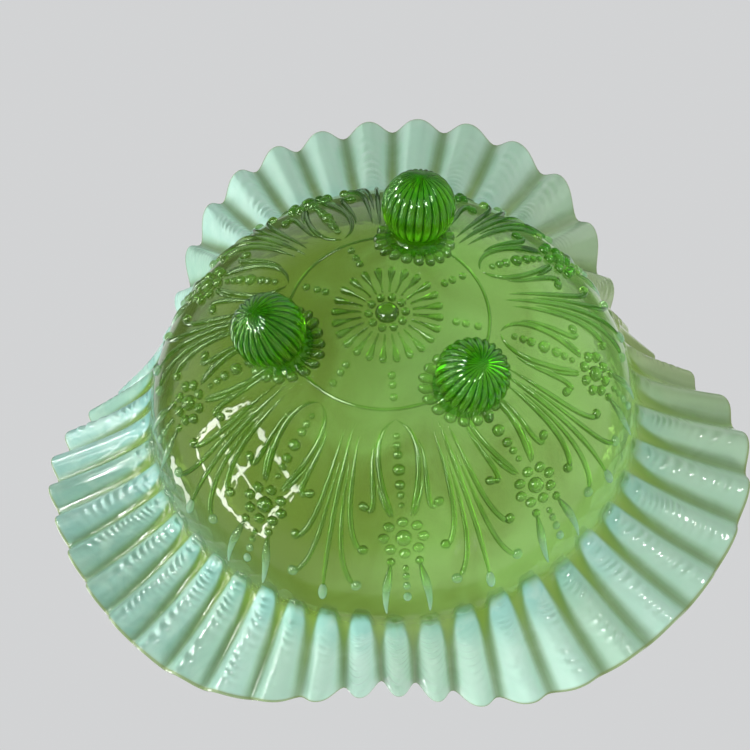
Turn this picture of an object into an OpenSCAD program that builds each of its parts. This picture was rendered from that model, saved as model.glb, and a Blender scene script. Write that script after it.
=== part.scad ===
// Three-footed pressed glass dish with a tricorner crimped rim.
// Units are millimetres and +Z is up. The dish stands on its three ball feet at Z = 0.
// The origin lies on the table plane, at the middle of the dish's overall box.
// The whole dish is one pressing: each node is one moulded feature of it.

/* [Bowl] */
// Radius of the bowl's outer curve at its widest: half the width of an ellipse
bowl_r = 70.5; // [60:0.1:85]
// Depth of that ellipse, from its widest level down to the middle of the underside
bowl_depth = 55.5; // [40:0.1:65]
// Height of the middle of the underside above the table
base_h = 15.2; // [14:0.1:18]
// Thickness of the bowl's wall
wall_t = 4.2; // [3:0.1:6]
// Distance along the outer curve, from the middle to where the rim begins
body_arc = 90; // [86:0.5:92]

/* [Rim] */
// Mean radius of the rim's edge
rim_r = 96.8; // [90:0.1:105]
// How far the three lobes reach beyond the mean radius, and the waists fall short of it
lobe_reach = 12.5; // [0:0.1:16]
// How far the rim is filled out between lobe and waist
lobe_fill = 4.0; // [0:0.1:5]
// How far the waists are pinched to a narrower valley
waist_pinch = 0.5; // [0:0.1:1.5]
// Push of the rim's edge along X and Y, because it was shaped by hand
rim_push_x = 1.1; // [-4:0.1:4]
rim_push_y = -5.6; // [-8:0.1:8]
// Uneven shaping of the edge: two-sided and four-sided parts
rim_oval = -0.7; // [-2:0.1:2]
rim_skew = 1.1; // [-2:0.1:2]
// Mean height of the rim's edge above the middle of the underside
rim_rise = 71.3; // [60:0.1:80]
// Extra height of the waists, equal to the lobes' droop
rim_wave = 11.5; // [0:0.1:15]
// Extra height of both lobes and waists over the parts between them
rim_wave_2 = 3.3; // [0:0.1:4]
// Azimuth of the first lobe, and of its lowest point
lobe_az = 32.2; // [0:0.1:119]
droop_az = 26; // [0:1:119]
// Number of crimps round the rim
crimps = 45; // [36:3:48]
// Azimuth of one crimp's ridge
crimp_az = 92.2; // [80:0.1:100]
// Crowding of the crimps, in degrees of one crimp's turn, and the azimuth where they are closest
crimp_crowd = 355; // [0:5:500]
crowd_az = 264; // [0:1:359]
// Height of a crimp at the edge, measured square to the glass
crimp_h = 2.9; // [0:0.1:3]
// Thickness of the rim at its edge
rim_t = 3.2; // [2:0.1:5]

/* [Feet] */
// Azimuth of the first foot
foot_az = 48.4; // [0:1:119]
// Distance along the outer curve from the middle to each foot
foot_arc = 30.1; // [28:0.1:34]
// Radius of the ball
ball_r = 10.4; // [9:0.1:12]
// Height of the ball's middle above the wall, along the foot
ball_up = 10.9; // [10:0.1:14]
// Radius of the narrow neck between ball and wall
neck_r = 6.4; // [5:0.1:8]
// Number of melon ribs round each ball
ribs = 24; // [12:1:32]
// Depth of the flutes between the ribs
flute_depth = 0.7; // [0.2:0.1:1.5]
// Number of petals in the collar round each neck
collar_petals = 18; // [12:1:24]
// Outer radius of the collar
collar_r = 11.8; // [10:0.1:13]

/* [Base pattern] */
// Radius of the plain ring line that runs through the feet
ring_r = 28.2; // [26:0.1:30]
// Radius of the boss in the middle
boss_r = 3.2; // [2:0.1:4]
// Radius of the circle of beads round the boss
bead_ring_r = 5.0; // [4.5:0.1:6]
// Number of beads in that circle
bead_ring_n = 10; // [6:1:14]
// Number of petals of the daisy
daisy_petals = 24; // [16:1:32]
// Distance of the petals' round tips from the middle
daisy_r = 15.7; // [12:0.1:17]
// Radius of the beads in the six radial rows
row_bead_r = 1.05; // [0.7:0.05:1.4]

/* [Wall pattern] */
// Number of pearl flowers round the wall, with one plume between each two
repeats = 9; // [6:3:9]
// Azimuth of one pearl flower
flower_az = 9; // [0:1:39]
// Distance along the outer curve from the middle of the base to a flower's middle
flower_arc = 64.1; // [60:0.1:66]
// Radius of a flower's middle pearl
pearl_r = 2.2; // [1.6:0.1:2.6]
// Radius of the eight pearls round it
petal_pearl_r = 1.45; // [1:0.05:1.8]
// Half width of the raised lines
line_w = 0.75; // [0.4:0.05:1.2]
// Height of the raised lines above the wall
line_h = 0.9; // [0.3:0.05:1.2]

/* [Hidden] */
$fn = 32;
// How far a moulded ornament's back is sunk in the wall
sink = 0.3;
// Steps of the outer curve, of the bowl's turned outline and across the rim
curve_steps = 90;
body_steps = 22;
rim_steps = 5;
// Points round one crimp
crimp_steps = 8;
// Length of the control line that leads the wall's slope into the rim
flare_lead = 9;

// ---- the bowl's outer curve ----
curve = [for (i = [0:curve_steps]) let (f = 90 * i / curve_steps)
    [bowl_r * sin(f), base_h + bowl_depth * (1 - cos(f))]];
// Distance along the curve at each of its points
arcs = [for (i = 0, s = 0; i <= curve_steps;
             i = i + 1, s = i > curve_steps ? s : s + norm(curve[i] - curve[i - 1])) s];
arc_r = [for (i = [0:curve_steps]) [arcs[i], curve[i][0]]];
arc_z = [for (i = [0:curve_steps]) [arcs[i], curve[i][1]]];
function wall_r(s) = lookup(s, arc_r);
function wall_z(s) = lookup(s, arc_z);
// Height of the curve at radius r
function height_at(r) = base_h + bowl_depth * (1 - sqrt(1 - pow(r / bowl_r, 2)));
// Slope of the wall in degrees: 0 is level
function wall_slope(s) = atan2(wall_z(s + 1) - wall_z(max(s - 1, 0)), wall_r(s + 1) - wall_r(max(s - 1, 0)));
// A point h millimetres outside the wall, in the plane of the outline
function outline_point(s, h) = [wall_r(s) + h * sin(wall_slope(s)), wall_z(s) - h * cos(wall_slope(s))];
function turned(p, az) = [p[0] * cos(az), p[0] * sin(az), p[1]];
// A point beside a meridian: x to its side, s along the wall, h outside it
function wall_point(az, x, s, h) = turned(outline_point(s, h), az + x / max(wall_r(s), 1) * 180 / PI);

// ---- the rim's surface ----
function edge_r(az) = rim_r + lobe_reach * cos(3 * (az - lobe_az)) - lobe_fill * cos(6 * (az - lobe_az))
    + waist_pinch * cos(9 * (az - lobe_az)) + rim_push_x * cos(az) + rim_push_y * sin(az)
    + rim_oval * sin(2 * az) + rim_skew * sin(4 * az);
function edge_z(az) = base_h + rim_rise - rim_wave * cos(3 * (az - droop_az))
    + rim_wave_2 * cos(6 * (az - droop_az));
// Crimps crowd together on one side of the dish and spread out on the other
function crimp_turn(az) = crimps * az + crimp_crowd * sin(az - crowd_az + 90);
function crimp_phase(az) = crimp_turn(az) - crimp_turn(crimp_az);
// Broad round ridges with narrower valleys between them
function crimp_wave(az) = cos(crimp_phase(az)) - 0.1 * cos(2 * crimp_phase(az));
rim_start = [wall_r(body_arc), wall_z(body_arc)];
rim_lead = rim_start + flare_lead * [cos(wall_slope(body_arc)), sin(wall_slope(body_arc))];
function bezier2(a, b, c, t) = (1 - t) * (1 - t) * a + 2 * t * (1 - t) * b + t * t * c;
function flare(az, t) = bezier2(rim_start, rim_lead, [edge_r(az), edge_z(az)], t);
function flare_slope(az, t) = let (d = flare(az, t + 0.01) - flare(az, t - 0.01)) atan2(d[1], d[0]);
function outward(az, t) = [sin(flare_slope(az, t)), -cos(flare_slope(az, t))];
function crimped(az, t) = flare(az, t) + crimp_h * pow(t, 1.1) * crimp_wave(az) * outward(az, t);
function rim_wall(t) = wall_t + (rim_t - wall_t) * t;
function rim_inside(az, t) = crimped(az, t) - rim_wall(t) * outward(az, t);
// Every crimp gets the same number of steps, however wide it is, and one of them is on its ridge
rim_around = crimps * crimp_steps;
turn_az = [for (i = [0:360]) [crimp_turn(i), i]];
crimp_step = 360 / crimp_steps;
turn_start = crimp_turn(0) + (crimp_turn(crimp_az) - crimp_turn(0)) % crimp_step;
function rim_az(i) = lookup(turn_start + crimp_step * i, turn_az);
// The dish is moved so that the origin is the middle of its box
edge_points = [for (i = [0:rim_around - 1]) turned(crimped(rim_az(i), 1), rim_az(i))];
centre_x = -(max([for (p = edge_points) p[0]]) + min([for (p = edge_points) p[0]])) / 2;
centre_y = -(max([for (p = edge_points) p[1]]) + min([for (p = edge_points) p[1]])) / 2;

module in_place() {
    translate([centre_x, centre_y, 0])
        children();
}

// Puts children on the wall, with their +Z along the wall's outward side
module on_wall(az, x, s, h = 0) {
    p = wall_point(az, x, s, h);
    translate(p)
        rotate([0, 0, az + x / max(wall_r(s), 1) * 180 / PI])
            rotate([0, 180 - wall_slope(s), 0])
                children();
}

module bead(r) {
    rotate_extrude()
        intersection() {
            circle(r = r);
            translate([0, -sink])
                square([r + 1, r + sink + 1]);
        }
}

// ---- closed skins from rings of points ----
function strip(n, a, b) = [for (k = [0:n - 1], j = [0, 1])
    j == 0 ? [a + k, a + (k + 1) % n, b + k] : [a + (k + 1) % n, b + (k + 1) % n, b + k]];
function strips(n, rings) = [for (i = [0:rings - 2]) each strip(n, i * n, (i + 1) * n)];
function fan(n, a, turn) = [for (k = [1:n - 2]) turn ? [a, a + k, a + k + 1] : [a, a + k + 1, a + k]];

// A raised line with a round back, along a curve of four control points [x, s] beside a meridian
function bezier3(p, t) = pow(1 - t, 3) * p[0] + 3 * t * pow(1 - t, 2) * p[1]
    + 3 * t * t * (1 - t) * p[2] + pow(t, 3) * p[3];
function side_of(p, t) = let (d = bezier3(p, t + 0.01) - bezier3(p, t - 0.01)) [-d[1], d[0]] / norm(d);
function swell(t) = 0.25 + 0.75 * pow(sin(180 * (0.06 + 0.88 * t)), 0.5);
function line_ring(az, p, t, w, h) = let (c = bezier3(p, t), n = side_of(p, t), k = swell(t))
    [for (a = [0:45:180]) let (q = c + n * w * k * cos(a))
        wall_point(az, q[0], q[1], a == 0 || a == 180 ? -sink : h * k * sin(a))];

module raised_line(az, p, w = line_w, h = line_h, steps = 6) {
    rings = [for (i = [0:steps]) line_ring(az, p, i / steps, w, h)];
    points = [for (r = rings) each r];
    polyhedron(points = points,
               faces = concat(strips(5, steps + 1), fan(5, 0, true), fan(5, steps * 5, false)));
}

// The same line on both sides of its meridian
module line_pair(az, p, w = line_w, h = line_h, steps = 6) {
    raised_line(az, p, w, h, steps);
    raised_line(az, [for (i = [0:3]) [-p[i][0], p[i][1]]], w, h, steps);
}

// ---- bowl and rim ----
module bowl_body() {
    outer = [for (i = [0:body_steps]) outline_point(body_arc * i / body_steps, 0)];
    inner = [for (i = [body_steps:-1:0]) outline_point(body_arc * i / body_steps, -wall_t)];
    color("yellowgreen")
        in_place()
            rotate_extrude($fn = 96)
                polygon(concat(outer, [for (p = inner) [max(p[0], 0), p[1]]]));
}

module ruffled_rim() {
    across = [for (j = [0:rim_steps]) j / rim_steps];
    n = 2 * (rim_steps + 1);
    rings = [for (i = [0:rim_around - 1]) let (az = rim_az(i)) concat(
        [for (t = across) turned(crimped(az, t), az)],
        [for (j = [rim_steps:-1:0]) turned(rim_inside(az, across[j]), az)])];
    points = [for (r = rings) each r];
    faces = [for (i = [0:rim_around - 1]) each strip(n, i * n, ((i + 1) % rim_around) * n)];
    color("honeydew")
        in_place()
            polyhedron(points = points, faces = faces);
}

// ---- feet ----
module on_foot(i) {
    in_place()
        on_wall(foot_az + 120 * (i - 1), 0, foot_arc)
            children();
}

function ball_point(lat, k) = let (r = ball_r - (k % 2) * flute_depth * pow(cos(lat), 0.5))
    [r * cos(lat) * cos(180 * k / ribs), r * cos(lat) * sin(180 * k / ribs), r * sin(lat)];

// The ribbed ball, cut off flat inside the neck and closed by a small flat at its tip
module ribbed_ball() {
    n = 2 * ribs;
    lats = [for (i = [0:9]) -52 + 134 * i / 9];
    points = [for (lat = lats, k = [0:n - 1]) ball_point(lat, k)];
    polyhedron(points = points,
               faces = concat([for (f = strips(n, len(lats))) [f[0], f[2], f[1]]],
                              fan(n, 0, true), fan(n, (len(lats) - 1) * n, false)));
}

module neck() {
    waist = ball_up - ball_r * 0.77;
    rotate_extrude()
        difference() {
            translate([0, -1])
                square([neck_r + 3, ball_up]);
            translate([neck_r + 3, waist])
                circle(r = 3);
            translate([neck_r, waist])
                square([9, ball_up]);
        }
}

module foot(i) {
    color("forestgreen")
        intersection() {
            on_foot(i)
                union() {
                    translate([0, 0, ball_up])
                        ribbed_ball();
                    neck();
                }
            translate([-150, -150, 0])
                cube([300, 300, 60]);
        }
}

module foot_1() {
    foot(1);
}

module foot_2() {
    foot(2);
}

module foot_3() {
    foot(3);
}

module collar_petal() {
    tip = collar_r - 1.7;
    translate([tip, 0, 0])
        sphere(r = 1.7);
    translate([tip, 0, 0])
        rotate([0, -90, 0])
            cylinder(r1 = 1.6, r2 = 1, h = 4.6);
}

module foot_collar(i) {
    color("limegreen")
        on_foot(i)
            intersection() {
                union() {
                    for (k = [0:collar_petals - 1])
                        rotate([0, 0, 360 * k / collar_petals])
                            collar_petal();
                }
                translate([0, 0, -0.8])
                    difference() {
                        cylinder(r = collar_r + 1, h = 6);
                        translate([0, 0, -1])
                            cylinder(r = neck_r + 0.4, h = 8);
                    }
            }
}

module foot_collar_1() {
    foot_collar(1);
}

module foot_collar_2() {
    foot_collar(2);
}

module foot_collar_3() {
    foot_collar(3);
}

// ---- base pattern ----
module centre_boss() {
    color("green")
        in_place()
            translate([0, 0, base_h])
                rotate([180, 0, 0])
                    intersection() {
                        translate([0, 0, -boss_r * 0.35])
                            sphere(r = boss_r * 1.06);
                        translate([0, 0, -sink])
                            cylinder(r = 2 * boss_r, h = 2 * boss_r);
                    }
}

module centre_bead_ring() {
    color("seagreen")
        in_place()
            for (k = [0:bead_ring_n - 1])
                on_wall(360 * k / bead_ring_n, 0, bead_ring_r)
                    bead(1.15);
}

// A petal that points to the middle, round at its outer end, measured from its own middle
module daisy_petal() {
    reach = daisy_r - 8.4;
    intersection() {
        translate([-reach / 2, 0, 0])
            union() {
                sphere(r = 1.15);
                rotate([0, 90, 0])
                    cylinder(r1 = 1.08, r2 = 0.4, h = reach);
            }
        translate([-daisy_r, -5, -sink])
            cube([2 * daisy_r, 10, 5]);
    }
}

module base_daisy() {
    color("olivedrab")
        in_place()
            for (k = [0:daisy_petals - 1])
                on_wall(360 * (k + 0.5) / daisy_petals, 0, daisy_r / 2 + 3.05)
                    daisy_petal();
}

module base_ring_line() {
    color("darkgreen")
        in_place()
            translate([0, 0, height_at(ring_r)])
                rotate_extrude($fn = 96)
                    translate([ring_r, 0])
                        circle(r = 0.5, $fn = 16);
}

module base_bead_rows() {
    color("seagreen")
        in_place()
            for (k = [0:repeats - 1], s = [19.2, 21.9, 25.4])
                if (k % 3 != 1)
                    on_wall(flower_az + 360 * k / repeats, 0, s)
                        bead(row_bead_r);
}

// ---- wall pattern ----
module round_flowers() {
    in_place()
        for (k = [0:repeats - 1])
            let ($az = flower_az + 360 * k / repeats)
                children();
}

module round_plumes() {
    in_place()
        for (k = [0:repeats - 1])
            let ($az = flower_az + 360 * (k + 0.5) / repeats)
                children();
}

module pearl_flowers() {
    color("mediumseagreen")
        round_flowers() {
            on_wall($az, 0, flower_arc)
                bead(pearl_r);
            for (a = [0:45:315])
                on_wall($az, 4.9 * sin(a), flower_arc + 4.7 * cos(a))
                    bead(petal_pearl_r);
        }
}

// Seven beads inside the arch, largest in the fourth place
module flower_bead_stems() {
    color("seagreen")
        round_flowers()
            for (i = [-3:3])
                on_wall($az, 0, 45.3 + (i > 0 ? 3.25 : 3.1) * i)
                    bead(1.75 - 0.32 * abs(i));
}

// Four beads that grow towards the rim
module flower_tail_beads() {
    color("seagreen")
        round_flowers()
            for (i = [0:3])
                on_wall($az, 0, 73.2 + 2.2 * i + 0.3 * i * i)
                    bead(0.75 + 0.2 * i);
}

module flower_arches() {
    color("olivedrab")
        round_flowers()
            line_pair($az, [[0.6, 32], [6.6, 35], [7.0, 46], [2.3, 58]], w = 0.8);
}

module flower_scrolls() {
    color("yellowgreen")
        round_flowers() {
            line_pair($az, [[5.8, 37], [9, 44], [5.4, 58.2], [9.7, 55.8]], w = 0.65);
            line_pair($az, [[3.4, 58.4], [5.4, 53.2], [6.4, 58], [9.8, 56.8]], w = 0.6, steps = 5);
            for (x = [-10.4, 10.4])
                on_wall($az, x, 55.6)
                    bead(1.35);
        }
}

module flower_leaf_stems() {
    color("olivedrab")
        round_flowers() {
            for (x = [-4.1, 4.1])
                on_wall($az, x, 71.1)
                    bead(1.35);
            line_pair($az, [[4.2, 71.8], [4.4, 77], [6.2, 80], [5.6, 89]], w = 0.95, h = 0.85, steps = 5);
        }
}

module plume_lines() {
    color("lawngreen")
        round_plumes() {
            raised_line($az, [[0, 34.9], [0, 48], [0, 64], [0, 79.5]], steps = 5);
            line_pair($az, [[2.2, 36.8], [3.2, 50], [3.6, 62.5], [9.0, 68.4]]);
            line_pair($az, [[1.6, 46], [2.3, 58], [3.0, 72.5], [8.2, 78.4]], w = 0.65);
        }
}

module plume_drops() {
    color("seagreen")
        round_plumes() {
            on_wall($az, 0, 82)
                bead(1.5);
            for (x = [-9.8, 9.8])
                on_wall($az, x, 67.8)
                    bead(1.5);
            for (x = [-9.2, 9.2])
                on_wall($az, x, 79.1)
                    bead(1.85);
        }
}

bowl_body();
ruffled_rim();
foot_1();
foot_2();
foot_3();
foot_collar_1();
foot_collar_2();
foot_collar_3();
centre_boss();
centre_bead_ring();
base_daisy();
base_ring_line();
base_bead_rows();
pearl_flowers();
flower_bead_stems();
flower_tail_beads();
flower_arches();
flower_scrolls();
flower_leaf_stems();
plume_lines();
plume_drops();
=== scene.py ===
import math
import bpy
import numpy as np
from mathutils import Matrix, Vector


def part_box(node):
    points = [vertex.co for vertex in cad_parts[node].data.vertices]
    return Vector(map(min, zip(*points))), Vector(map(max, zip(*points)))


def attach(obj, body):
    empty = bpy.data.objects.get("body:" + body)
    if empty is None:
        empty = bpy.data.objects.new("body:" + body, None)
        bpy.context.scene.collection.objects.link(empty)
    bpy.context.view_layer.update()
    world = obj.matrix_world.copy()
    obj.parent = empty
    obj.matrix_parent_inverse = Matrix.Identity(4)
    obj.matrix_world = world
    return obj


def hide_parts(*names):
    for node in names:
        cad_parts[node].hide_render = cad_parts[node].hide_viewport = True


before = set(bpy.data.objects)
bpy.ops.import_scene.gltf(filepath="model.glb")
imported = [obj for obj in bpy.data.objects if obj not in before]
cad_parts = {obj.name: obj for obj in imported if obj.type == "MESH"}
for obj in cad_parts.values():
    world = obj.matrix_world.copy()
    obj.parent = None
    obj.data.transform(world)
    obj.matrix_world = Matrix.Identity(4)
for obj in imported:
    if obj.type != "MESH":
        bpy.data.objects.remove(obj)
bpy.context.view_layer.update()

# All shapes are worked out in millimetres round the bowl's own axis, then turned to metres and
# moved to where the frame's bowl_body stands. Azimuths (az) are in degrees. A distance s runs
# along the bowl's outer curve, from the middle of the underside.
MM = 0.001

# Bowl: the ellipse's radius and depth, the underside's height, the wall, and where the rim begins.
BOWL_R = 70.5
BOWL_DEPTH = 55.5
BASE_H = 15.2
WALL_T = 4.2
BODY_ARC = 90.0

# Rim: its edge's mean radius, the three lobes and waists, and the unevenness of hand work.
RIM_R = 96.8
LOBE_REACH = 12.5
LOBE_FILL = 4.0
WAIST_PINCH = 0.5
RIM_PUSH = (1.1, -5.6)
RIM_OVAL = -0.7
RIM_SKEW = 1.1
LOBE_AZ = 32.2
# Its edge's mean height above the underside, and how that rises and droops.
RIM_RISE = 71.3
RIM_WAVE = 11.5
RIM_WAVE_2 = 3.3
DROOP_AZ = 26.0
# Its thickness at the edge, its rough length across, and the line that leads the wall into it.
RIM_T = 3.2
RIM_RUN = 41.0
FLARE_LEAD = 9.0
# The tan part of it: azimuth and half width in degrees.
WARM_AZ = 336.0
WARM_WIDTH = 26.0

# Crimps: number, azimuth of one ridge, how much and where they crowd together, and height.
CRIMPS = 45
CRIMP_AZ = 92.2
CRIMP_CROWD = 355.0
CROWD_AZ = 264.0
CRIMP_H = 2.9
# Mesh steps round one crimp, and rows on the rim's outer skin, edge and inner skin.
CRIMP_STEPS = 14
OUTER_ROWS = 98
EDGE_ROWS = 8
INNER_ROWS = 28

# Feet: azimuth of the first, distance from the middle, ball, neck and ribs.
FOOT_AZ = 48.4
FOOT_ARC = 30.1
BALL_R = 10.4
BALL_UP = 10.9
NECK_R = 6.4
RIBS = 24
RIB_DEPTH = 1.3
COLLAR_PETALS = 18

# Pattern: azimuth of the first flower, number of flowers, their distance from the middle, the
# base's ring line, bead circle and daisy, and how deep an ornament's foot is sunk in the wall.
FLOWER_AZ = 9.0
REPEATS = 9
FLOWER_ARC = 64.1
RING_R = 28.2
CIRCLE_BEADS = 10
DAISY_PETALS = 24
SINK = 0.3
# Latitude of a round back's last ring below its tip, and the power that makes it full.
DOME_TOP = 84
FULLNESS = 0.85

low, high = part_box("bowl_body")
AXIS = np.array([(low.x + high.x) / 2, (low.y + high.y) / 2, 0.0])


# ---- the outer curve of the bowl ----
def cos_d(a):
    return np.cos(np.radians(a))


def sin_d(a):
    return np.sin(np.radians(a))


def curve_tables():
    """Distance along the outer curve, radius, height and ellipse angle, every 0.05 degrees."""
    f = np.linspace(0, 90, 1801)
    r = BOWL_R * sin_d(f)
    z = BASE_H + BOWL_DEPTH * (1 - cos_d(f))
    s = np.concatenate([[0], np.cumsum(np.hypot(np.diff(r), np.diff(z)))])
    return s, r, z, f


ARC, ARC_R, ARC_Z, ARC_F = curve_tables()


def wall_slope(s):
    """Slope of the outer curve in radians, 0 where it is level."""
    f = np.interp(s, ARC, ARC_F)
    return np.arctan2(BOWL_DEPTH * sin_d(f), BOWL_R * cos_d(f))


def outline(s, h):
    """Radius and height of a point h outside the wall, s along it from the middle."""
    slope = wall_slope(s)
    r = np.interp(s, ARC, ARC_R)
    z = np.interp(s, ARC, ARC_Z)
    return r + h * np.sin(slope), z - h * np.cos(slope)


def turned(r, z, az):
    """Points at radius r, height z and azimuth az."""
    return np.stack([r * cos_d(az), r * sin_d(az), z + 0 * az], axis=-1)


def wall_point(az, x, s, h):
    """A point beside a meridian: x to its side, s along the wall, h outside it."""
    x, s, h = np.broadcast_arrays(np.asarray(x, float), s, h)
    r0 = np.maximum(np.interp(s, ARC, ARC_R), 1.0)
    r, z = outline(s, h)
    return turned(r, z, az + np.degrees(x / r0))


# ---- the rim ----
def edge_r(az):
    lobe = az - LOBE_AZ
    wave = LOBE_REACH * cos_d(3 * lobe) - LOBE_FILL * cos_d(6 * lobe) + WAIST_PINCH * cos_d(9 * lobe)
    push = RIM_PUSH[0] * cos_d(az) + RIM_PUSH[1] * sin_d(az)
    return RIM_R + wave + push + RIM_OVAL * sin_d(2 * az) + RIM_SKEW * sin_d(4 * az)


def edge_z(az):
    wave = RIM_WAVE_2 * cos_d(6 * (az - DROOP_AZ)) - RIM_WAVE * cos_d(3 * (az - DROOP_AZ))
    return BASE_H + RIM_RISE + wave


def crimp_turn(az):
    return CRIMPS * az + CRIMP_CROWD * sin_d(az - CROWD_AZ + 90)


def crimp_phase(az):
    """Degrees of crimp turn from the ridge at CRIMP_AZ: a multiple of 360 on each ridge."""
    return crimp_turn(az) - crimp_turn(CRIMP_AZ)


def rim_azimuths(steps):
    """Azimuths with the same number of steps in each crimp."""
    fine = np.linspace(0, 360, 7201)
    turns = crimp_turn(0.0) + 360.0 * np.arange(CRIMPS * steps) / steps
    return np.interp(turns, crimp_turn(fine), fine)


def flare(az, t):
    """Point and unit direction of the rim's smooth outer curve, across from t 0 to 1."""
    r0, z0 = outline(BODY_ARC, 0.0)
    r_before, z_before = outline(BODY_ARC - 0.5, 0.0)
    lead = np.array([r0 - r_before, z0 - z_before])
    lead = lead * FLARE_LEAD / np.hypot(*lead)
    r1, z1 = r0 + lead[0], z0 + lead[1]
    r2, z2 = edge_r(az), edge_z(az)
    r = (1 - t) ** 2 * r0 + 2 * t * (1 - t) * r1 + t * t * r2
    z = (1 - t) ** 2 * z0 + 2 * t * (1 - t) * z1 + t * t * z2
    dr = 2 * (1 - t) * (r1 - r0) + 2 * t * (r2 - r1)
    dz = 2 * (1 - t) * (z1 - z0) + 2 * t * (z2 - z1)
    size = np.hypot(dr, dz)
    return r, z, dr / size, dz / size


def hashed(k, salt):
    """A fixed number between 0 and 1 for crimp k."""
    return np.modf(np.abs(np.sin(k * 12.9898 + salt * 78.233)) * 43758.5453)[0]


def smooth(a, b, x):
    """0 up to a, 1 from b on, and a soft step between them."""
    t = np.clip((x - a) / (b - a), 0, 1)
    return t * t * (3 - 2 * t)


def crimp_lift(az, t):
    """Outward lift of the even crimps, as in the frame: broad round ridges, narrower valleys."""
    phase = crimp_phase(az)
    return CRIMP_H * t ** 1.1 * (cos_d(phase) - 0.1 * cos_d(2 * phase))


def wrinkles(k, off, t):
    """Fine curved folds across the outer part of most ridges, up to 0.45 mm high."""
    ridge = np.exp(-((off / 0.23) ** 2))
    zone = smooth(0.26, 0.45, t) * (1 - smooth(0.86, 0.98, t)) * smooth(0.1, 0.6, hashed(k, 2))
    pitch = 13 + 8 * hashed(k, 3)
    bend = 0.35 * off * off + (0.3 * hashed(k, 8) - 0.15) * off
    swing = t + bend + 0.03 * np.sin(9 * t + 6 * hashed(k, 7))
    gust = 0.55 + 0.45 * np.sin(2 * np.pi * (2.3 * t + hashed(k, 6)) + 9 * off)
    return 0.45 * gust * ridge * zone * np.sin(2 * np.pi * pitch * swing)


def crimp_marks(az, t):
    """What the crimping tool and the mould left on the ridges: uneven size, wrinkles and drops."""
    turns = crimp_phase(az) / 360.0
    nearest = np.round(turns)
    off = turns - nearest
    k = nearest % CRIMPS
    uneven = 0.14 * (hashed(k, 1) - 1.0) * cos_d(180 * off) ** 2
    mark = uneven * crimp_lift(az, t) + wrinkles(k, off, t)
    for salt, place, height in ((4, 0.08, 0.8), (5, 0.2, 0.8), (6, 0.33, 0.6)):
        here = place + 0.07 * (hashed(k, salt) - 0.5)
        drop = np.exp(-(((t - here) / 0.03) ** 2) - (off / 0.13) ** 2)
        mark = mark + height * drop * smooth(0.25, 0.5, hashed(k, salt + 5))
    return mark


def rim_skin(az, t, outer):
    """A row of points on the rim's outer or inner skin."""
    r, z, dr, dz = flare(az, t)
    lift = crimp_lift(az, t)
    thick = WALL_T + (RIM_T - WALL_T) * t
    h = lift + crimp_marks(az, t) if outer else lift - thick
    return turned(r + h * dz, z - h * dr, az)


# ---- mesh building ----
class Bag:
    """Collects closed skins and turns them into one piece."""

    def __init__(self):
        self.points = []
        self.faces = []
        self.count = 0

    def grid(self, p, cap_start=None, cap_end=None):
        """p[i][j]: rings i of points j. The rings close on themselves; caps close the ends."""
        rows, cols = p.shape[:2]
        ids = self.count + np.arange(rows * cols).reshape(rows, cols)
        self.points.append(p.reshape(-1, 3))
        self.count += rows * cols
        nxt = np.roll(ids, -1, axis=1)
        quads = np.stack([ids[:-1], nxt[:-1], nxt[1:], ids[1:]], axis=-1)
        self.faces += quads.reshape(-1, 4).tolist()
        if cap_start is not None:
            self.fan(ids[0][::-1], cap_start)
        if cap_end is not None:
            self.fan(ids[-1], cap_end)

    def fan(self, ring, tip):
        self.points.append(np.asarray(tip, float).reshape(1, 3))
        tip_id = self.count
        self.count += 1
        for a, b in zip(ring, np.roll(ring, -1)):
            self.faces.append([int(a), int(b), tip_id])

    def piece(self, name, node, slot, material, extra=None, casts=False):
        """Makes the piece that replaces a node. extra holds its point attributes."""
        co = (np.concatenate(self.points) * MM) + AXIS
        mesh = bpy.data.meshes.new(name)
        mesh.from_pydata(co.tolist(), [], self.faces)
        mesh.validate()
        for key, values in (extra or {}).items():
            layer = mesh.attributes.new(key, "FLOAT", "POINT")
            layer.data.foreach_set("value", np.asarray(values, np.float32))
        mesh.shade_smooth()
        mesh.materials.append(material)
        obj = bpy.data.objects.new(name, mesh)
        bpy.context.scene.collection.objects.link(obj)
        # Light reaches the wall behind a small ornament, as it does through real glass.
        obj.visible_shadow = casts
        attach(obj, "root")
        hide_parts(node)
        return obj


def dome(bag, az, x, s, rx, rs, height, around=20, up=7):
    """A round-backed bead, rx by rs in radius, its foot sunk in the wall."""
    lat = np.radians(np.linspace(0, DOME_TOP, up))
    a = np.linspace(0, 2 * np.pi, around, endpoint=False)
    ring = [(1.0, -SINK)] + [(math.cos(v) ** FULLNESS, height * math.sin(v)) for v in lat]
    rings = [wall_point(az, x + rx * q * np.cos(a), s + rs * q * np.sin(a), h) for q, h in ring]
    foot = wall_point(az, x, s, -SINK)
    tip = wall_point(az, x, s, height)
    bag.grid(np.array(rings), cap_start=foot, cap_end=tip)


def round_bead(bag, az, s, r, height):
    """A round bead on a meridian."""
    dome(bag, az, 0.0, s, r, r, height)


def bezier(p, t):
    p = np.array(p, float)
    t = np.asarray(t)[:, None]
    u = 1 - t
    return u ** 3 * p[0] + 3 * t * u ** 2 * p[1] + 3 * t ** 2 * u * p[2] + t ** 3 * p[3]


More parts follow.
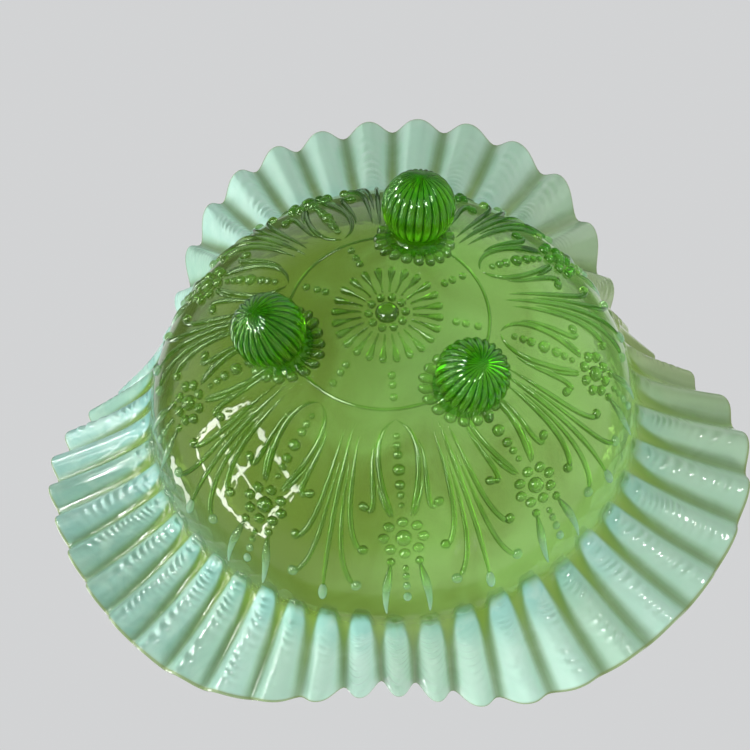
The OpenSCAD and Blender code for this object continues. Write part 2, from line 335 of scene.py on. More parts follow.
def stroke(bag, az, centre, width, height, flip=1.0):
    """A raised line with a round back, along points [x, s], widths and heights given along it."""
    c = np.array(centre) * [flip, 1.0]
    d = np.gradient(c, axis=0)
    d = d / np.hypot(d[:, 0], d[:, 1])[:, None]
    n = np.stack([-d[:, 1], d[:, 0]], axis=-1)
    a = np.linspace(0, np.pi, 9)
    rings = []
    for i in range(len(c)):
        u = np.concatenate([[1.0], np.cos(a), [-1.0]]) * width[i]
        h = np.concatenate([[-SINK], height[i] * np.sin(a), [-SINK]])
        rings.append(wall_point(az, c[i, 0] + u * n[i, 0], c[i, 1] + u * n[i, 1], h))
    first = wall_point(az, *c[0], 0.0)
    last = wall_point(az, *c[-1], 0.0)
    bag.grid(np.array(rings), cap_start=first, cap_end=last)


def even(n):
    """Steps from 0 to 1, closer together at both ends."""
    return (1 - np.cos(np.linspace(0, np.pi, n))) / 2


def tapered(t, head, tail):
    """Size along a stroke: swelling from a pointed start, with a rounded end."""
    start = np.minimum((t / head + 0.02) ** 0.6, 1)
    end = np.minimum(((1 - t) / tail + 0.02) ** 0.5, 1)
    return np.maximum(start * end, 0.06)


def line(bag, az, p, width, height, head, tail, n=30, both=True):
    """A tapered line along a Bezier curve of four points [x, s], and mostly its mirror image."""
    t = even(n)
    c = bezier(p, t)
    size = tapered(t, head, tail)
    for flip in ((1.0, -1.0) if both else (1.0,)):
        stroke(bag, az, c, width * size, height * size, flip=flip)


def rounded(x, first, last, r_first, r_last):
    """Size along a stroke from first to last: 1, and a quarter circle at either end."""
    start = np.clip((first + r_first - x) / r_first, 0, 1)
    end = np.clip((x - last + r_last) / r_last, 0, 1)
    return np.sqrt(np.clip(1 - start ** 2, 0.0004, 1) * np.clip(1 - end ** 2, 0.0004, 1))


def petal(bag, az, s0, turn, near, far, widths, heights):
    """A drop pointing to a centre on the wall, from near to far from it, round at its outer end."""
    t = even(22)
    rho = near + (far - near) * t
    swell = widths[0] + (widths[1] - widths[0]) * smooth(0.0, 0.75, t)
    rise = heights[0] + (heights[1] - heights[0]) * t
    size = rounded(rho, near, far, *widths)
    c = np.stack([rho * math.sin(turn), s0 + rho * math.cos(turn)], axis=-1)
    stroke(bag, az, c, swell * size, rise * size)


# ---- pieces ----
AROUND = rim_azimuths(CRIMP_STEPS)


def make_bowl(material):
    bag = Bag()
    s = BODY_ARC * np.concatenate([[0.006], np.linspace(0.03, 1, 46)])
    outer = np.array([turned(*outline(v, 0.0), AROUND) for v in s])
    inner = np.array([turned(*outline(v, -WALL_T), AROUND) for v in s])
    bag.grid(outer, cap_start=turned(*outline(0.0, 0.0), 0.0))
    bag.grid(inner[::-1], cap_end=turned(*outline(0.0, -WALL_T), 0.0))
    return bag.piece("bowl_glass", "bowl_body", "green_glass", material, casts=True)


def rim_edge(t):
    """The rounded edge from the outer skin's last row, at t, to the inner skin's first."""
    outer = rim_skin(AROUND, t, True)
    inner = rim_skin(AROUND, t, False)
    mid, half = (outer + inner) / 2, (outer - inner) / 2
    dr, dz = flare(AROUND, t)[2:]
    ahead = turned(dr, dz, AROUND) * (np.linalg.norm(half, axis=-1) * 0.6)[:, None]
    turns = np.linspace(0, 180, EDGE_ROWS + 2)[1:-1]
    return [mid + half * cos_d(a) + ahead * sin_d(a) for a in turns]


def make_rim(material):
    bag = Bag()
    end = 1 - 0.3 * RIM_T / RIM_RUN
    t_out = end * np.linspace(0, 1, OUTER_ROWS)
    t_in = end * np.linspace(1, 0, INNER_ROWS)
    rings = [rim_skin(AROUND, t, True) for t in t_out]
    rings += rim_edge(end)
    rings += [rim_skin(AROUND, t, False) for t in t_in]
    bag.grid(np.array(rings))
    across = np.concatenate([t_out, np.ones(EDGE_ROWS), t_in])
    phase = crimp_phase(AROUND)
    from_warm = (AROUND - WARM_AZ + 180) % 360 - 180
    around = {
        "ridge": 0.5 + 0.5 * cos_d(phase),
        "warm": np.exp(-((from_warm / WARM_WIDTH) ** 2)),
        "crimp": hashed(np.round(phase / 360.0) % CRIMPS, 9),
    }
    extra = {key: np.tile(values, len(across)) for key, values in around.items()}
    extra["across"] = np.repeat(across, len(AROUND))
    return bag.piece("rim_glass", "ruffled_rim", "opal_glass", material, extra, casts=True)


def foot_profile():
    """Radius, height above the wall and rib strength along a foot, from inside the wall to its tip."""
    rows = [(NECK_R + 2.6, -1.2, 0.0)]
    for a in np.linspace(0, 90, 8):
        rows.append((NECK_R + 2.2 * (1 - sin_d(a)), 2.0 - 2.2 * cos_d(a), 0.0))
    start = math.degrees(math.acos(NECK_R / BALL_R))
    for lat in np.linspace(-start, 87, 54):
        ribs = float(smooth(-start, -start + 16, lat))
        rows.append((BALL_R * cos_d(lat), BALL_UP + BALL_R * sin_d(lat), ribs))
    return rows


def make_foot(i, material):
    """A ribbed ball on its neck, square to the wall. The ribs grow finer towards its tip."""
    bag = Bag()
    slope = wall_slope(FOOT_ARC)
    r0, z0 = outline(FOOT_ARC, 0.0)
    az = FOOT_AZ + 120 * (i - 1)
    a = np.linspace(0, 2 * np.pi, RIBS * 12, endpoint=False)
    groove = 1 - np.abs(np.cos(a * RIBS / 2)) ** 0.6
    rings = []
    grooves = []
    for r, h, ribs in foot_profile():
        depth = RIB_DEPTH * ribs * max(r / BALL_R, 0.02) ** 0.85
        rr = np.maximum(r - depth * groove, 0.15)
        flat = r0 + rr * np.cos(a) * np.cos(slope) + h * np.sin(slope)
        z = z0 + rr * np.cos(a) * np.sin(slope) - h * np.cos(slope)
        side = rr * np.sin(a)
        x = flat * cos_d(az) - side * sin_d(az)
        y = flat * sin_d(az) + side * cos_d(az)
        rings.append(np.stack([x, y, np.maximum(z, 0.0)], axis=-1))
        grooves.append(ribs * groove[::-1])
    rings = np.array(rings)
    bag.grid(rings[:, ::-1], cap_start=rings[0].mean(axis=0), cap_end=rings[-1].mean(axis=0))
    # The last two points are the tips of the caps.
    extra = {"groove": np.concatenate(grooves + [[0.0, 0.0]])}
    return bag.piece(f"foot_ball_{i}", f"foot_{i}", "emerald_glass", material, extra, casts=True)


def make_collar(i, material):
    bag = Bag()
    az = FOOT_AZ + 120 * (i - 1)
    for k in range(COLLAR_PETALS):
        turn = 2 * math.pi * k / COLLAR_PETALS
        petal(bag, az, FOOT_ARC, turn, near=6.6, far=11.75, widths=(0.8, 1.6), heights=(1.4, 2.0))
    return bag.piece(f"foot_petals_{i}", f"foot_collar_{i}", "green_glass", material)


def make_boss(material):
    """The round button. It sits on the axis, where a meridian has no sides, so it is turned."""
    bag = Bag()
    radius = 3.3
    height = 2.1
    az = np.linspace(360, 0, 48, endpoint=False)
    rings = [turned(*outline(radius, -SINK), az)]
    for lat in np.linspace(0, DOME_TOP, 12):
        rings.append(turned(*outline(radius * cos_d(lat) ** FULLNESS, height * sin_d(lat)), az))
    foot = turned(*outline(0.0, -SINK), 0.0)
    tip = turned(*outline(0.0, height), 0.0)
    bag.grid(np.array(rings), cap_start=foot, cap_end=tip)
    return bag.piece("centre_button", "centre_boss", "green_glass", material)


def make_centre_beads(material):
    bag = Bag()
    for k in range(CIRCLE_BEADS):
        round_bead(bag, 360.0 / CIRCLE_BEADS * k, 5.1, 1.2, 1.5)
    return bag.piece("centre_bead_circle", "centre_bead_ring", "green_glass", material)


def make_daisy(material):
    bag = Bag()
    t = even(24)
    # It begins 0.2 mm late, so that its inner end is blunt.
    s = 7.1 + 8.5 * t
    size = rounded(s, first=6.9, last=15.6, r_first=0.5, r_last=1.1)
    width = 0.3 + 0.8 * smooth(0.3, 0.9, t)
    height = 0.6 + 1.1 * t
    for k in range(DAISY_PETALS):
        az = 360.0 / DAISY_PETALS * (k + 0.5)
        stroke(bag, az, np.stack([0 * s, s], axis=-1), width * size, height * size)
    return bag.piece("daisy_petals", "base_daisy", "green_glass", material)


def make_ring_line(material):
    bag = Bag()
    s = np.interp(RING_R, ARC_R, ARC)
    a = np.linspace(0, 360, 240, endpoint=False)
    rings = []
    for b in np.linspace(0, 2 * np.pi, 12, endpoint=False):
        rings.append(turned(*outline(s + 0.5 * math.cos(b), 0.42 * math.sin(b) - 0.06), a))
    rings.append(rings[0])
    bag.grid(np.array(rings)[::-1])
    return bag.piece("base_circle_line", "base_ring_line", "green_glass", material)


def each_flower():
    return [FLOWER_AZ + 360.0 / REPEATS * k for k in range(REPEATS)]


def each_plume():
    return [FLOWER_AZ + 360.0 / REPEATS * (k + 0.5) for k in range(REPEATS)]


def make_bead_rows(material):
    """Three beads between the middle and each flower, except where a foot stands."""
    bag = Bag()
    for k, az in enumerate(each_flower()):
        if k % 3 != 1:
            for s in (19.2, 21.9, 25.4):
                round_bead(bag, az, s, 1.1, 1.4)
    return bag.piece("base_bead_trios", "base_bead_rows", "green_glass", material)


def make_flowers(material):
    bag = Bag()
    for az in each_flower():
        dome(bag, az, 0, FLOWER_ARC, 2.3, 2.25, 2.2, around=28, up=9)
        for k in range(8):
            a = math.pi * k / 4
            dome(bag, az, 5.4 * math.sin(a), FLOWER_ARC + 4.5 * math.cos(a), 1.6, 1.4, 1.6)
    return bag.piece("pearl_flower_heads", "pearl_flowers", "green_glass", material)


def make_bead_stems(material):
    """Seven beads between the base and each flower: distance along the wall and radius of each."""
    bag = Bag()
    column = ((36.1, 0.95), (38.7, 1.15), (41.2, 1.35), (45.3, 1.8),
              (49.4, 1.45), (52.2, 1.15), (55.0, 0.9))
    for az in each_flower():
        for s, r in column:
            dome(bag, az, 0, s, r, r * 0.95, r * 1.1)
    return bag.piece("flower_bead_columns", "flower_bead_stems", "green_glass", material)


def make_tail_beads(material):
    """Four beads from each flower to the rim: distance along the wall and radius of each."""
    bag = Bag()
    for az in each_flower():
        for s, r in ((73.2, 0.85), (75.7, 1.0), (78.9, 1.1), (82.7, 1.2)):
            dome(bag, az, 0, s, r, r * 1.15, r * 0.85)
    return bag.piece("flower_tail_pearls", "flower_tail_beads", "pale_opal_glass", material)


def make_arches(material):
    bag = Bag()
    arch = [[0.5, 32], [6.5, 35], [6.9, 46], [2.4, 58.2]]
    for az in each_flower():
        line(bag, az, arch, 0.8, 1.15, head=0.5, tail=0.1, n=40)
    return bag.piece("flower_arch_lines", "flower_arches", "green_glass", material)


def make_scrolls(material):
    bag = Bag()
    curl = [[5.9, 38], [8.8, 44], [5.6, 58], [9.6, 56.4]]
    spur = [[6.2, 49], [5.6, 53], [4.2, 56], [3.2, 58.2]]
    for az in each_flower():
        line(bag, az, curl, 0.75, 1.05, head=0.5, tail=0.06, n=40)
        line(bag, az, spur, 0.6, 0.8, head=0.4, tail=0.2)
        for x in (-10.3, 10.3):
            dome(bag, az, x, 55.5, 1.45, 1.3, 1.3)
    return bag.piece("flower_scroll_lines", "flower_scrolls", "green_glass", material)


def make_leaf_stems(material):
    bag = Bag()
    leaf = [[4.1, 71.6], [4.4, 76], [6.6, 80], [6.0, 89]]
    for az in each_flower():
        line(bag, az, leaf, 1.25, 0.9, head=0.45, tail=0.5, n=34)
        for x in (-3.9, 3.9):
            dome(bag, az, x, 71.1, 1.2, 1.2, 1.1)
    return bag.piece("flower_leaf_strokes", "flower_leaf_stems", "pale_opal_glass", material)


def make_plumes(material):
    bag = Bag()
    middle = [[0, 34.7], [0, 48], [0, 66], [0, 84]]
    outer = [[2.1, 36.6], [3.2, 50], [3.8, 63], [8.9, 68.2]]
    inner = [[1.3, 44], [2.2, 58], [2.6, 72.5], [8.2, 78.8]]
    for az in each_plume():
        line(bag, az, middle, 0.75, 1.0, head=0.3, tail=0.3, n=44, both=False)
        line(bag, az, outer, 0.75, 1.0, head=0.4, tail=0.06, n=44)
        line(bag, az, inner, 0.7, 0.95, head=0.5, tail=0.06, n=44)
    return bag.piece("plume_stroke_lines", "plume_lines", "green_glass", material)


def make_plume_drops(material):
    bag = Bag()
    for az in each_plume():
        for side in (-1.0, 1.0):
            dome(bag, az, 9.6 * side, 67.8, 1.45, 1.4, 1.3)
            dome(bag, az, 9.1 * side, 79.1, 1.5, 1.5, 1.35)
        dome(bag, az, 0, 83.4, 1.3, 2.8, 1.2)
    return bag.piece("plume_pearl_drops", "plume_drops", "pale_opal_glass", material)


# ---- materials ----
class Tree:
    """A short way to write a node tree."""

    def __init__(self, tree):
        self.tree = tree

    def add(self, kind, props=None, **inputs):
        node = self.tree.nodes.new(kind)
        for key, value in (props or {}).items():
            setattr(node, key, value)
        for key, value in inputs.items():
            self.put(node.inputs[key.replace("_", " ")], value)
        return node

    def put(self, socket, value):
        if isinstance(value, bpy.types.NodeSocket):
            self.tree.links.new(value, socket)
        else:
            socket.default_value = value

    def math(self, op, a, b):
        node = self.add("ShaderNodeMath", {"operation": op})
        self.put(node.inputs[0], a)
        self.put(node.inputs[1], b)
        return node.outputs[0]

    def mapped(self, value, a, b, c, d, kind="SMOOTHSTEP"):
        """The value with a to b turned to c to d."""
        node = self.add("ShaderNodeMapRange", {"interpolation_type": kind})
        for i, v in enumerate((value, a, b, c, d)):
            self.put(node.inputs[i], v)
        return node.outputs[0]


class Surface(Tree):
    """A material's node tree round its Principled shader. Textures are in the frame's metres."""

    def __init__(self, name):
        self.mat = bpy.data.materials.new(name)
        self.mat.use_nodes = True
        super().__init__(self.mat.node_tree)
        self.shader = self.tree.nodes["Principled BSDF"]
        self.out = self.tree.nodes["Material Output"]

    def mix(self, fac, a, b):
        node = self.add("ShaderNodeMix", {"data_type": "RGBA"})
        self.put(node.inputs[0], fac)
        self.put(node.inputs[6], a)
        self.put(node.inputs[7], b)
        return node.outputs[2]

    def noise(self, scale, detail, rough=0.5, distort=0.0):
        where = self.add("ShaderNodeTexCoord").outputs["Object"]
        node = self.add("ShaderNodeTexNoise", Vector=where, Scale=scale, Detail=detail,
                        Roughness=rough, Distortion=distort)
        return node.outputs["Fac"]

    def axis(self, name):
        where = self.add("ShaderNodeTexCoord").outputs["Object"]
        return self.add("ShaderNodeSeparateXYZ", Vector=where).outputs[name]

    def attribute(self, name):
        return self.add("ShaderNodeAttribute", {"attribute_name": name}).outputs["Fac"]

    def painted_dark_edges(self, colour, dark, a=0.45, b=0.95):
        """The colour with painted shade: darker where the surface turns away, standing in for the dark
        surroundings that solid glass reflects at its edges.
        """
        facing = self.add("ShaderNodeLayerWeight", Blend=0.5).outputs["Facing"]
        return self.mix(self.mapped(facing, a, b, 0.0, 1.0), colour, dark)

    def bump(self, height, strength, distance):
        node = self.add("ShaderNodeBump", Strength=strength, Distance=distance, Height=height)
        self.put(self.shader.inputs["Normal"], node.outputs["Normal"])

    def set(self, **inputs):
        for key, value in inputs.items():
            self.put(self.shader.inputs[key.replace("_", " ")], value)


def rgb(r, g, b):
    """Colour from sRGB 0 to 255."""
    linear = [((c / 255 + 0.055) / 1.055) ** 2.4 if c > 10 else c / 255 / 12.92 for c in (r, g, b)]
    return (*linear, 1.0)


GLASS_IOR = 1.5
# The wall's olive and lime, between which painted light and shade move it.
BODY_GREENS = (rgb(126, 158, 60), rgb(166, 218, 116))


def green_and_painted_light(n, deep, light):
    """Soft swirls of olive and lime, painted light that makes the right lime and the left olive, painted
    shade that darkens the wall towards +Y, and a milky haze high up on the left, the same where bowl and
    rim meet."""
    swirl = n.noise(38.0, 4.0, 0.55, 0.8)
    broad = n.noise(11.0, 2.0, 0.5, 0.4)
    # Painted light: the +X side, where the light falls, is made more lime and the other side more olive.
    side = n.mapped(n.axis("X"), -0.06, 0.06, 0.2, 0.8, "LINEAR")
    swirls = n.math("MULTIPLY", n.math("ADD", swirl, broad), 0.3)
    blend = n.math("ADD", swirls, n.math("MULTIPLY", side, 0.4))
    # Painted shade: towards +Y the wall is made darker and more olive.
    blend = n.math("SUBTRACT", blend, n.mapped(n.axis("Y"), 0.03, 0.064, 0.0, 0.08))
    green = n.mix(n.mapped(blend, 0.39, 0.59, 0.0, 1.0), deep, light)
    left = n.mapped(n.axis("X"), -0.02, -0.07, 0.0, 1.0)
    haze = n.math("MULTIPLY", left, n.mapped(n.axis("Z"), 0.046, 0.066, 0.0, 0.5))
    return n.mix(haze, green, rgb(146, 192, 170))


def pressed_skin(n, clear, waves):
    """Slight cloudiness and a faintly wavy, fire-polished skin. clear is the transmission."""
    n.set(Roughness=n.mapped(n.noise(420.0, 3.0, 0.6), 0.3, 0.75, 0.015, 0.06), IOR=GLASS_IOR)
    cloud = n.noise(38.0, 4.0, 0.55, 0.8)
    n.set(Transmission_Weight=n.mapped(cloud, 0.3, 0.7, clear, clear - 0.08))
    n.bump(n.noise(160.0, 2.0, 0.5), waves, 0.0006)


def glass_bowl():
    """Pressed green glass of the wall, its green with painted light and shade."""
    n = Surface("green_bowl_glass")
    n.set(Base_Color=green_and_painted_light(n, *BODY_GREENS))
    pressed_skin(n, clear=0.8, waves=0.25)
    return n.mat


def glass_relief():
    """Raised pattern: clearer than the wall, with painted shade at its sides and painted shade to the
    back right, where the light is dimmest.
    """
    n = Surface("green_relief_glass")
    green = green_and_painted_light(n, rgb(160, 206, 108), rgb(188, 228, 140))
    # Painted shade: deeper green towards the back right, where the light is dimmest.
    away = n.math("SUBTRACT", n.math("MULTIPLY", n.axis("X"), 0.5), n.axis("Y"))
    green = n.mix(n.mapped(away, 0.0, 0.05, 0.0, 1.0), green, rgb(92, 172, 44))
    # Painted shade: darker green where the surface turns away.
    n.set(Base_Color=n.painted_dark_edges(green, rgb(46, 96, 18)))
    pressed_skin(n, clear=1.0, waves=0.15)
    return n.mat


def glass_foot():
    """Thick emerald glass of the feet, with painted shade in the grooves between their ribs and at their
    edges.
    """
    n = Surface("emerald_foot_glass")
    streak = n.noise(90.0, 4.0, 0.6, 1.4)
    green = n.mix(n.mapped(streak, 0.35, 0.65, 0.0, 1.0), rgb(106, 218, 8), rgb(156, 245, 40))
    # Painted shade: the grooves between the ribs are darkened.
    painted_groove_shade = n.mapped(n.attribute("groove"), 0.25, 0.75, 0.0, 0.85)
    green = n.mix(painted_groove_shade, green, rgb(20, 84, 4))
    # Painted shade: darker green where the ball's surface turns away.
    n.set(Base_Color=n.painted_dark_edges(green, rgb(24, 100, 2), 0.5, 1.0), Specular_IOR_Level=0.2)
    n.set(Transmission_Weight=0.9, IOR=GLASS_IOR)
    n.set(Roughness=n.mapped(n.noise(500.0, 2.0), 0.3, 0.7, 0.0, 0.04))
    n.bump(n.noise(260.0, 2.0), 0.2, 0.0004)
    absorb = n.add("ShaderNodeVolumeAbsorption", Color=rgb(70, 200, 20), Density=22.0)
    n.put(n.out.inputs["Volume"], absorb.outputs[0])
    return n.mat


def milk_distance(n, cloud):
    """Distance across the rim, less where the milk comes late: by crimp, in clouds, in valleys."""
    by_crimp = n.math("MULTIPLY", n.attribute("crimp"), 0.16)
    late = n.math("ADD", by_crimp, n.math("MULTIPLY", cloud, 0.26))
    valley = n.math("POWER", n.math("SUBTRACT", 1.0, n.attribute("ridge")), 3.0)
    late = n.math("ADD", late, n.math("MULTIPLY", valley, 0.45))
    return n.math("SUBTRACT", n.attribute("across"), late)


def rim_milk(n, distance, cloud):
    """How milky the rim is: early and strong on ridges, late and weak in valleys and where tan."""
    crest = n.math("ADD", n.attribute("ridge"), n.math("MULTIPLY", n.attribute("across"), 0.15))
    crest = n.math("ADD", crest, n.math("MULTIPLY", cloud, 0.16))
    on_ridge = n.mapped(crest, 0.04, 0.6, 0.0, 1.0)
    own_most = n.mapped(n.attribute("crimp"), 0.0, 1.0, 1.0, 0.78)
    left_most = n.mapped(n.axis("X"), -0.09, 0.0, 0.8, 0.4)
    high = n.math("MULTIPLY", on_ridge, n.mapped(distance, -0.26, 0.02, 0.0, own_most))
    in_valley = n.math("SUBTRACT", 1.0, on_ridge)
    low_milk = n.math("MULTIPLY", in_valley, n.mapped(distance, 0.1, 0.7, 0.0, left_most))
    milk = n.math("ADD", high, low_milk)
    return n.math("MULTIPLY", milk, n.mapped(n.attribute("warm"), 0.0, 1.0, 1.0, 0.6))


def rim_opal(n, distance, cloud):
    """The milky glass's colour: bluish where it starts, then mint, cooler on the left, and tan."""
    outward = n.mapped(n.attribute("across"), 0.25, 0.7, 0.0, 1.0)
    opal = n.mix(outward, rgb(166, 224, 212), rgb(204, 243, 226))
    opal = n.mix(n.mapped(n.axis("X"), -0.03, -0.09, 0.0, 0.6), opal, rgb(132, 190, 186))
    right = n.mapped(n.axis("X"), 0.0, 0.08, 0.0, 1.0)
    start = n.mix(right, rgb(92, 170, 152), rgb(62, 146, 112))
    opal = n.mix(n.mapped(distance, -0.2, 0.06, 0.0, 1.0), start, opal)
    opal = n.mix(n.mapped(cloud, 0.4, 0.7, 0.0, 0.5), opal, rgb(214, 246, 232))
    return n.mix(n.math("MULTIPLY", n.attribute("warm"), 0.85), opal, rgb(198, 206, 134))


def glass_rim():
    """Opalescent rim: milky mint ridges, yellow-green valleys, clear green where it leaves the bowl."""
    n = Surface("opal_rim_glass")
    across = n.attribute("across")
    cloud = n.noise(120.0, 4.0, 0.6, 0.6)
    distance = milk_distance(n, cloud)
    milk = rim_milk(n, distance, cloud)
    outward = n.mapped(across, 0.2, 0.9, 0.0, 1.0)
    own_green = n.mix(outward, rgb(146, 184, 76), rgb(138, 172, 100))
    from_bowl = n.mapped(across, 0.02, 0.3, 0.0, 1.0)
    # Near the bowl the rim takes the wall's green, with its painted light and shade.
    green = n.mix(from_bowl, green_and_painted_light(n, *BODY_GREENS), own_green)
    colour = n.mix(milk, green, rim_opal(n, distance, cloud))
    at_edge = n.mapped(across, 0.965, 0.995, 0.0, 0.8)
    n.set(Base_Color=n.mix(at_edge, colour, rgb(140, 158, 86)), IOR=GLASS_IOR)
    clear = n.mapped(across, 0.02, 0.3, 0.76, 0.5)
    n.set(Transmission_Weight=n.mapped(milk, 0.0, 1.0, clear, 0.12))
    n.set(Roughness=n.mapped(n.noise(420.0, 3.0), 0.3, 0.75, 0.04, 0.12))
    n.bump(n.noise(200.0, 3.0, 0.55), 0.28, 0.0005)
    return n.mat


def glass_opal_drop():
    """Raised parts near the rim, where the green glass turns milky blue."""
    n = Surface("opal_drop_glass")
    milk = n.mapped(n.axis("Z"), 0.043, 0.058, 0.0, 0.7)
    cloud = n.noise(220.0, 3.0)
    opal = n.mix(n.mapped(cloud, 0.3, 0.7, 0.0, 1.0), rgb(150, 208, 190), rgb(186, 226, 216))
    # Painted shade: darker green where the surface turns away.
    green = n.painted_dark_edges(rgb(180, 220, 130), rgb(54, 104, 22))
    n.set(Base_Color=n.mix(milk, green, opal), IOR=GLASS_IOR)
    n.set(Transmission_Weight=n.mapped(milk, 0.0, 0.7, 1.0, 0.5))
    n.set(Roughness=n.mapped(n.noise(500.0, 2.0), 0.3, 0.7, 0.02, 0.09))
    n.bump(n.noise(300.0, 2.0), 0.2, 0.0004)
    return n.mat


# ---- stage, in metres ----
FLOOR_HALF = 12.0
FLOOR_Z = -0.0002


def floor_material():
    """Pale floor, drawn only from above: the main view looks at the dish's underside from beneath
    the floor, so its lower side lets the view through."""
    n = Surface("pale_floor")
    n.set(Base_Color=n.mix(n.noise(3.0, 4.0), rgb(222, 222, 220), rgb(228, 228, 226)))
    n.set(Roughness=0.9, Specular_IOR_Level=0.05)
    back = n.add("ShaderNodeNewGeometry").outputs["Backfacing"]
    clear = n.add("ShaderNodeBsdfTransparent")
    both = n.add("ShaderNodeMixShader", Fac=back)
    n.put(both.inputs[1], n.shader.outputs[0])
    n.put(both.inputs[2], clear.outputs[0])
    n.put(n.out.inputs["Surface"], both.outputs[0])
    return n.mat


def make_floor():
    mesh = bpy.data.meshes.new("floor")
    signs = ((-1, -1), (1, -1), (1, 1), (-1, 1))
    corners = [(FLOOR_HALF * x, FLOOR_HALF * y, FLOOR_Z) for x, y in signs]
    mesh.from_pydata(corners, [], [(0, 1, 2, 3)])
    mesh.materials.append(floor_material())
    floor = bpy.data.objects.new("floor", mesh)
    bpy.context.scene.collection.objects.link(floor)
    floor.visible_shadow = False
    floor.visible_glossy = False


def make_world():
    """Pale at the horizon and overhead, with a dark ring between them that draws the glass's edges,
    and dark below the floor, where two soft glows light the underside. In reflections the glows
    are dimmed, so that they lay no grey veil on the glass."""
    world = bpy.data.worlds.new("studio")
    world.use_nodes = True
    n = Tree(world.node_tree)
    where = n.add("ShaderNodeTexCoord").outputs["Generated"]
    height = n.add("ShaderNodeSeparateXYZ", Vector=where).outputs["Z"]
    strength = n.mapped(height, -0.35, 0.0, 0.06, 0.75)
    from_below = n.mapped(height, 0.25, 0.4, 0.0, 1.0)
    ring = n.math("MULTIPLY", from_below, n.mapped(height, 0.55, 0.7, 1.0, 0.0))
    strength = n.math("MULTIPLY", strength, n.mapped(ring, 0.0, 1.0, 1.0, 0.12))
    below = n.mapped(height, 0.0, -0.3, 0.0, 1.0)
    reflected = n.add("ShaderNodeLightPath").outputs["Is Glossy Ray"]
    below = n.math("MULTIPLY", below, n.mapped(reflected, 0.0, 1.0, 1.0, 0.25))
    for direction, power in (((-0.75, 0.35, -0.56), 0.5), ((0.74, 0.15, -0.65), 1.7)):
        dot = n.add("ShaderNodeVectorMath", {"operation": "DOT_PRODUCT"})
        n.put(dot.inputs[0], where)
        n.put(dot.inputs[1], direction)
        glow = n.mapped(dot.outputs["Value"], 0.35, 1.0, 0.0, power)
        strength = n.math("ADD", strength, n.math("MULTIPLY", glow, below))
    background = n.tree.nodes["Background"]
    n.put(background.inputs["Strength"], strength)
    n.put(background.inputs["Color"], (0.86, 0.87, 0.88, 1))
    bpy.context.scene.world = world


def area_light(name, place, aim, width, height, power):
    """A rectangular lamp at place that points at aim."""
    data = bpy.data.lights.new(name, "AREA")
    data.shape = "RECTANGLE"
    data.size, data.size_y = width, height
    data.energy = power
    light = bpy.data.objects.new(name, data)
    light.location = place
    light.rotation_mode = "QUATERNION"
    light.rotation_quaternion = (Vector(aim) - Vector(place)).to_track_quat("-Z", "Y")
    bpy.context.scene.collection.objects.link(light)
    return light


def make_window():
    """The bright bars of a window on the left, whose reflections glint on the wall and the ridges."""
    middle = Vector((-0.86, 0.24, -0.2))
    out = middle.normalized()
    right = Vector((-out.y, out.x, 0)).normalized()
    up = right.cross(out)
    thin = 0.035
    for i in (-1, 0, 1):
        for name, place, width, height in (
            ("post", middle + 0.36 * i * right, thin, 0.66),
            ("bar", middle + 0.33 * i * up, 0.72, thin),
        ):
            area_light(f"{name}_{i + 1}", place, place - middle, width, height, 1.1)


def make_lamps():
    """A strip above on each side, a large lamp above in front, and a low one in front that brings
    out the wrinkles. Only the left strip is seen reflected, as bright lines in the beads."""
    aim = (0, 0, 0.05)
    area_light("strip_left", (-0.85, -0.1, 0.85), aim, 0.25, 0.7, 3)
    for name, place, width, height, power in (
        ("strip_right", (0.85, -0.1, 0.85), 0.3, 0.7, 4.3),
        ("top", (0.3, 0.9, 0.95), 0.7, 0.7, 1.5),
        ("low", (0.45, 0.95, -0.1), 0.2, 0.2, 2.2),
    ):
        area_light(name, place, aim, width, height, power).visible_glossy = False


def make_glints(rim, feet, relief):
    """Lamps that are seen only as sharp highlights, each on its own pieces."""
    aim = (0, 0, 0.03)
    for name, place, width, height, power, pieces in (
        ("glint_rim_left", (-0.82, -0.3, -0.35), 0.05, 0.5, 5, [rim]),
        ("glint_rim_low", (-0.75, 0.3, -0.62), 0.5, 0.05, 5, [rim]),
        ("glint_rim_right", (0.3, 0.2, -0.95), 0.5, 0.05, 4, [rim]),
        ("glint_feet", (-0.55, 0.4, -0.65), 0.3, 0.12, 12, feet),
        ("glint_relief", (-0.5, 0.25, -0.75), 0.35, 0.35, 9, relief),
        ("glint_relief_right", (0.55, 0.3, -0.75), 0.25, 0.25, 3, relief),
    ):
        lamp = area_light(name, place, aim, width, height, power)
        lamp.visible_diffuse = False
        lamp.visible_transmission = False
        lit = bpy.data.collections.new(name)
        for piece in pieces:
            lit.objects.link(piece)
        lamp.light_linking.receiver_collection = lit


# Camera: angle above the base plane, roll, and the small turns that set the dish's place in the
# frame, in degrees; its distance from the underside, and its sensor and lens, in millimetres.
CAMERA_ELEVATION = 57.11
CAMERA_ROLL = 3.25
CAMERA_PITCH = 1.18719
CAMERA_YAW = 0.23243
CAMERA_DISTANCE = 824.6
CAMERA_SENSOR = 36.0
CAMERA_LENS = 144.0


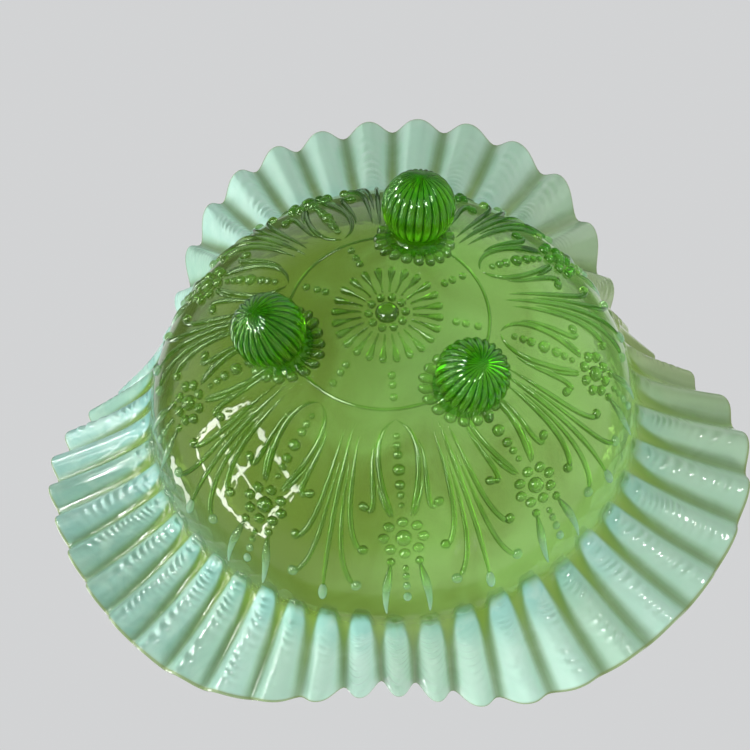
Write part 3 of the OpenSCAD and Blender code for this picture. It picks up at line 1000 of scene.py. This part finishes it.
def swung(a, b, degrees):
    """Two unit vectors turned in their plane, a towards b."""
    c = math.cos(math.radians(degrees))
    s = math.sin(math.radians(degrees))
    return c * a + s * b, c * b - s * a


def make_camera():
    """Looks up at the underside from the direction the photograph looks down at it: the view is
    set up over an upturned dish, and then turned over with it."""
    el = math.radians(CAMERA_ELEVATION)
    right = Vector((1, 0, 0))
    up = Vector((0, math.sin(el), math.cos(el)))
    ahead = Vector((0, math.cos(el), -math.sin(el)))
    place = -CAMERA_DISTANCE * ahead
    right, up = swung(right, up, -CAMERA_ROLL)
    up, ahead = swung(up, ahead, CAMERA_PITCH)
    right, ahead = swung(right, ahead, CAMERA_YAW)
    over = Matrix(((1, 0, 0), (0, -1, 0), (0, 0, -1)))
    right, up, ahead, place = (over @ v for v in (right, up, ahead, place))
    place = (place + Vector((0, 0, BASE_H))) * MM + Vector(AXIS)
    data = bpy.data.cameras.new("camera")
    data.sensor_width = CAMERA_SENSOR
    data.lens = CAMERA_LENS
    data.clip_start, data.clip_end = 0.01, 50.0
    camera = bpy.data.objects.new("camera", data)
    rows = Matrix((right, up, -ahead)).transposed()
    camera.matrix_world = Matrix.Translation(place) @ rows.to_4x4()
    bpy.context.scene.collection.objects.link(camera)
    bpy.context.scene.camera = camera


def make_object():
    """Makes all pieces. Returns the rim, the feet and the raised pieces, for the glints."""
    relief = glass_relief()
    drop = glass_opal_drop()
    emerald = glass_foot()
    make_bowl(glass_bowl())
    rim = make_rim(glass_rim())
    feet = [make_foot(i, emerald) for i in (1, 2, 3)]
    raised = [make_collar(i, relief) for i in (1, 2, 3)]
    for maker in (make_boss, make_centre_beads, make_daisy, make_ring_line, make_bead_rows, make_flowers,
                  make_bead_stems, make_arches, make_scrolls, make_plumes):
        raised.append(maker(relief))
    for maker in (make_tail_beads, make_leaf_stems, make_plume_drops):
        raised.append(maker(drop))
    return rim, feet, raised


rim_piece, foot_pieces, raised_pieces = make_object()
make_floor()
make_world()
make_camera()
make_window()
make_lamps()
make_glints(rim_piece, foot_pieces, raised_pieces)
bpy.context.scene.view_settings.view_transform = "Standard"
